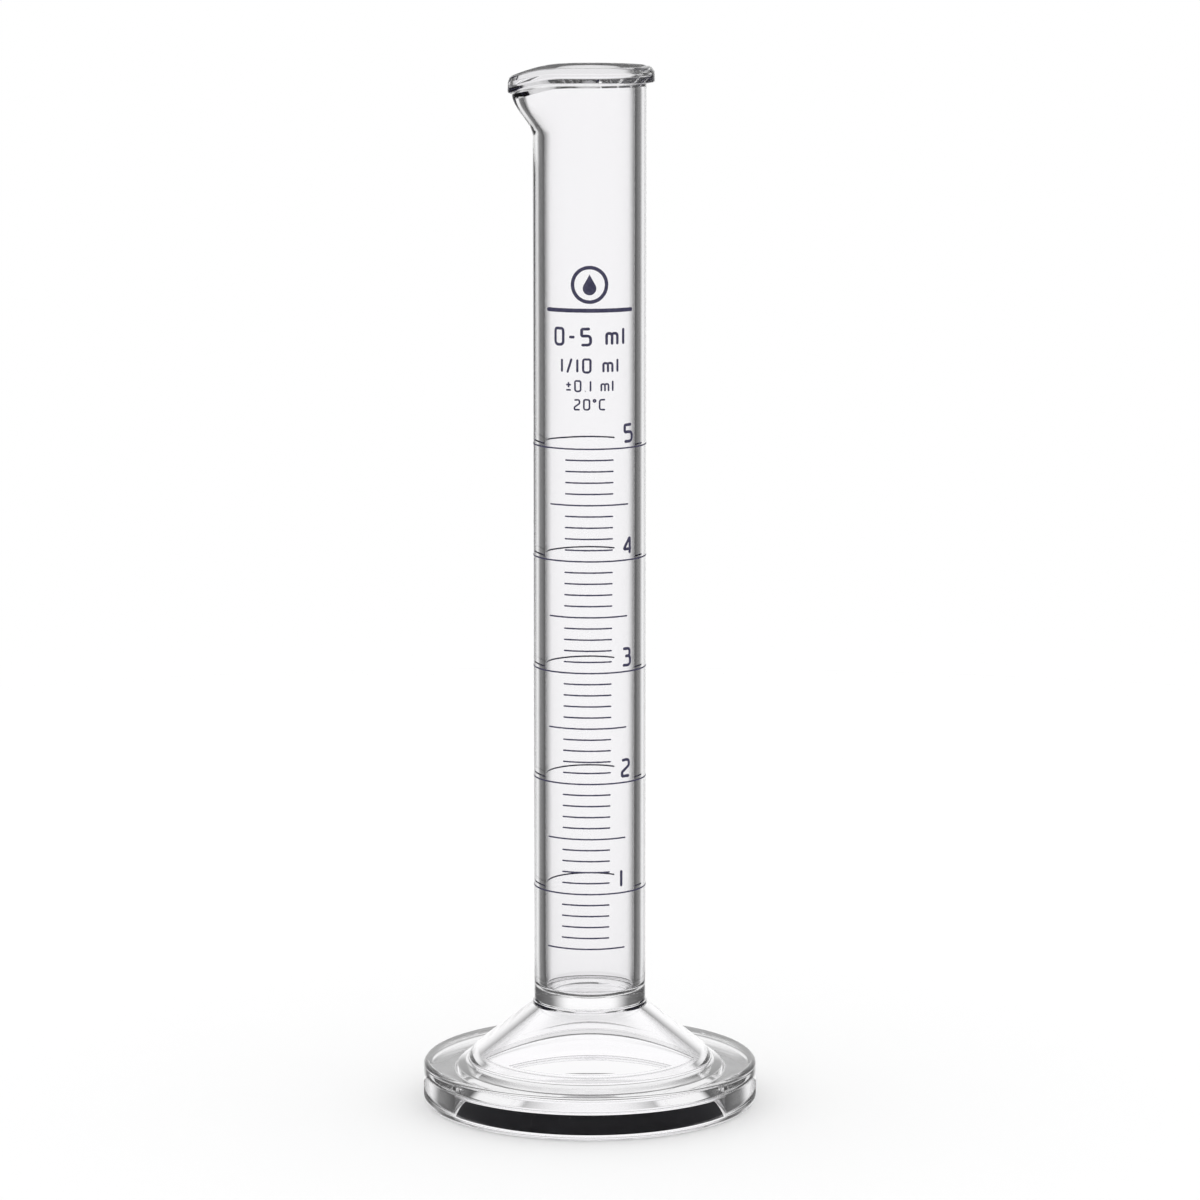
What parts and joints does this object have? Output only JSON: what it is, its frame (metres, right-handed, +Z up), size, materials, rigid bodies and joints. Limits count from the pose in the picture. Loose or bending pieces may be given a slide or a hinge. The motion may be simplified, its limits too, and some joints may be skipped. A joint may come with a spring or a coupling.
{
  "type": "graduated cylinder",
  "caption": "Small glass measuring cylinder: straight tube with a pouring lip on a round hollow foot, with a dark fired-on scale and numerals.",
  "frame": {"origin": "centre of the foot's underside, in the plane the cylinder stands on", "axes": "+Z up along the tube; the scale faces -Y; the pouring lip points to -X"},
  "size_m": [0.0378, 0.0378, 0.1173],
  "materials": {
    "glass": "clear, fire-polished",
    "enamel": "satin fired enamel, dark blue-violet"
  },
  "bodies": {
    "root": {"glass_foot": "glass", "glass_tube": "glass", "ring_mark_1_0_ml": "enamel", "ring_mark_2_0_ml": "enamel", "ring_mark_3_0_ml": "enamel", "ring_mark_4_0_ml": "enamel", "ring_mark_5_0_ml": "enamel", "half_mark_0_5_ml": "enamel", "half_mark_1_5_ml": "enamel", "half_mark_2_5_ml": "enamel", "half_mark_3_5_ml": "enamel", "half_mark_4_5_ml": "enamel", "short_mark_0_6_ml": "enamel", "short_mark_0_7_ml": "enamel", "short_mark_0_8_ml": "enamel", "short_mark_0_9_ml": "enamel", "short_mark_1_1_ml": "enamel", "short_mark_1_2_ml": "enamel", "short_mark_1_3_ml": "enamel", "short_mark_1_4_ml": "enamel", "short_mark_1_6_ml": "enamel", "short_mark_1_7_ml": "enamel", "short_mark_1_8_ml": "enamel", "short_mark_1_9_ml": "enamel", "short_mark_2_1_ml": "enamel", "short_mark_2_2_ml": "enamel", "short_mark_2_3_ml": "enamel", "short_mark_2_4_ml": "enamel", "short_mark_2_6_ml": "enamel", "short_mark_2_7_ml": "enamel", "short_mark_2_8_ml": "enamel", "short_mark_2_9_ml": "enamel", "short_mark_3_1_ml": "enamel", "short_mark_3_2_ml": "enamel", "short_mark_3_3_ml": "enamel", "short_mark_3_4_ml": "enamel", "short_mark_3_6_ml": "enamel", "short_mark_3_7_ml": "enamel", "short_mark_3_8_ml": "enamel", "short_mark_3_9_ml": "enamel", "short_mark_4_1_ml": "enamel", "short_mark_4_2_ml": "enamel", "short_mark_4_3_ml": "enamel", "short_mark_4_4_ml": "enamel", "short_mark_4_6_ml": "enamel", "short_mark_4_7_ml": "enamel", "short_mark_4_8_ml": "enamel", "short_mark_4_9_ml": "enamel", "numeral_1": "enamel", "numeral_2": "enamel", "numeral_3": "enamel", "numeral_4": "enamel", "numeral_5": "enamel", "emblem_bar": "enamel", "emblem_drop": "enamel", "emblem_ring": "enamel", "text_line_1": "enamel", "text_line_2": "enamel", "text_line_3": "enamel", "text_line_4": "enamel"}
  },
  "joints": []
}
